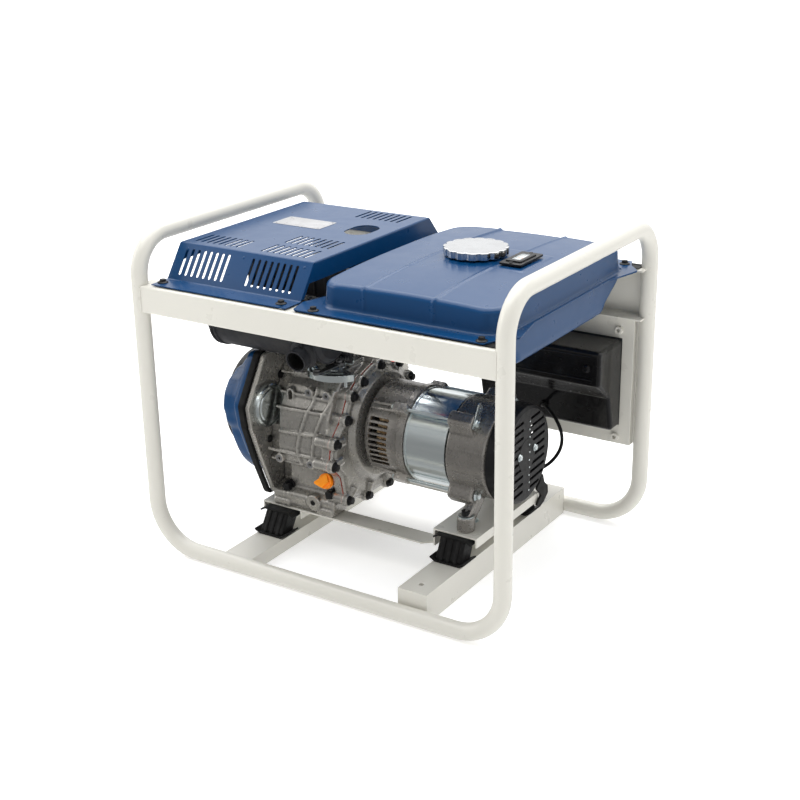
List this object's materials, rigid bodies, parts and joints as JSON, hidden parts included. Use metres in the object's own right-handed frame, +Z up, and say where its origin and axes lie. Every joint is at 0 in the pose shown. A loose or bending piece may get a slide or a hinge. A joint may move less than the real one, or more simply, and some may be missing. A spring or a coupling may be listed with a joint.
{
  "type": "portable generator",
  "caption": "Open-frame portable diesel generator: tube frame, air-cooled engine, alternator, fuel tank with cap, louvred cover and rear control panel.",
  "frame": {"origin": "under the middle of the tube frame, on the ground", "axes": "+X to the alternator end, -Y to the engine's service side, +Y to the control panel, +Z up"},
  "size_m": [0.656, 0.491, 0.5289],
  "materials": {
    "white_paint": "gloss powder coat",
    "blue_paint": "satin powder coat",
    "cast_alloy": "shot-blasted die casting",
    "zinc": "bright zinc plate",
    "chrome": "polished",
    "black_plastic": "fine moulded grain",
    "black_rubber": "moulded",
    "heat_paint": "matt heat-proof paint",
    "steel": "machined",
    "iron": "machined casting",
    "copper": "varnished windings",
    "orange_plastic": "moulded",
    "red_plastic": "moulded",
    "filter_paper": "pleated paper",
    "panel_grey": "fine textured paint",
    "glass": "clear"
  },
  "bodies": {
    "chassis": {"left_hoop": "white_paint", "right_hoop": "white_paint", "front_upper_rail": "white_paint", "rear_upper_rail": "white_paint", "left_cross_member": "white_paint", "right_cross_member": "white_paint", "left_engine_bracket": "white_paint", "right_engine_bracket": "white_paint", "front_tray_strip": "white_paint", "rear_tray_strip": "white_paint", "panel_frame": "white_paint", "mount_left_front": "black_rubber", "mount_left_rear": "black_rubber", "mount_right_front": "black_rubber", "mount_right_rear": "black_rubber", "alternator_lead": "black_rubber", "crankcase": "cast_alloy", "gear_case_cover": "cast_alloy", "cylinder_head": "cast_alloy", "rocker_cover": "cast_alloy", "injection_pump": "cast_alloy", "alternator_front_bell": "cast_alloy", "alternator_rear_bell": "cast_alloy", "starter_hole_cap": "zinc", "speed_quadrant": "zinc", "stator_band": "zinc", "fuel_strainer": "zinc", "fuel_tap": "steel", "key_switch": "chrome", "recoil_housing": "black_plastic", "air_filter_housing": "black_plastic", "alternator_end_cover": "black_plastic", "fuel_gauge": "black_plastic", "control_box": "black_plastic", "voltmeter": "black_plastic", "socket_left": "black_plastic", "socket_right": "black_plastic", "breaker_body": "black_plastic", "muffler": "heat_paint", "exhaust_outlet": "heat_paint", "stator_core": "copper", "air_filter_element": "filter_paper", "fan_shroud": "blue_paint", "tank_upper_shell": "blue_paint", "tank_lower_shell": "blue_paint", "louvred_cover": "blue_paint", "control_panel": "panel_grey"},
    "crank_train": {"crankshaft": "steel", "flywheel": "iron", "alternator_rotor": "steel"},
    "piston_body": {"piston": "steel"},
    "pulley_body": {"recoil_pulley": "black_plastic"},
    "starter_handle": {"starter_grip": "black_rubber"},
    "cap_body": {"fuel_cap": "chrome"},
    "dipstick_body": {"dipstick": "orange_plastic"},
    "tap_lever_body": {"fuel_tap_lever": "red_plastic"},
    "speed_lever_body": {"speed_lever": "zinc"},
    "decompression_body": {"decompression_lever": "steel"},
    "toggle_body": {"breaker_toggle": "red_plastic"},
    "key_body": {"ignition_key": "steel"}
  },
  "joints": [
    {"name": "crank_spin", "type": "hinge", "parent": "chassis", "child": "crank_train", "pos_m": [0, 0, 0.196], "axis": [1, 0, 0], "continuous": true},
    {"name": "piston_stroke", "type": "slide", "parent": "chassis", "child": "piston_body", "axis": [0, 0, 1], "range_m": [0, 0.062]},
    {"name": "recoil_pull", "type": "slide", "parent": "chassis", "child": "starter_handle", "axis": [0, 1, 0], "range_m": [0, 0.15], "stiffness_N_per_m": 80, "springref_m": -0.04},
    {"name": "pulley_turn", "type": "hinge", "parent": "chassis", "child": "pulley_body", "pos_m": [-0.272, 0, 0.196], "axis": [1, 0, 0], "range_deg": [-192, 0]},
    {"name": "fuel_cap_turn", "type": "hinge", "parent": "chassis", "child": "cap_body", "pos_m": [0.137, 0.002, 0.505], "axis": [0, 0, 1], "range_deg": [0, 90]},
    {"name": "dipstick_turn", "type": "hinge", "parent": "chassis", "child": "dipstick_body", "pos_m": [-0.073, -0.099, 0.122], "axis": [0, -0.9063, 0.4226], "range_deg": [0, 360]},
    {"name": "fuel_tap_turn", "type": "hinge", "parent": "chassis", "child": "tap_lever_body", "pos_m": [0.04, -0.075, 0.368], "axis": [0, 1, 0], "range_deg": [0, 90]},
    {"name": "speed_lever_turn", "type": "hinge", "parent": "chassis", "child": "speed_lever_body", "pos_m": [-0.07, -0.063, 0.308], "axis": [0, 0, 1], "range_deg": [0, 50]},
    {"name": "decompression_turn", "type": "hinge", "parent": "chassis", "child": "decompression_body", "pos_m": [-0.14, 0.041, 0.42], "axis": [0, -1, 0], "range_deg": [0, 60], "stiffness_Nm_per_rad": 0.1, "springref_deg": -20.05},
    {"name": "breaker_flip", "type": "hinge", "parent": "chassis", "child": "toggle_body", "pos_m": [0.166, 0.2195, 0.291], "axis": [1, 0, 0], "range_deg": [-56, 0]},
    {"name": "key_turn", "type": "hinge", "parent": "chassis", "child": "key_body", "pos_m": [0.238, 0.23, 0.292], "axis": [0, 1, 0], "range_deg": [0, 60]}
  ],
  "couplings": [
    {"joint": "pulley_turn", "follows": "recoil_pull", "rad_per_m": -22.222}
  ]
}
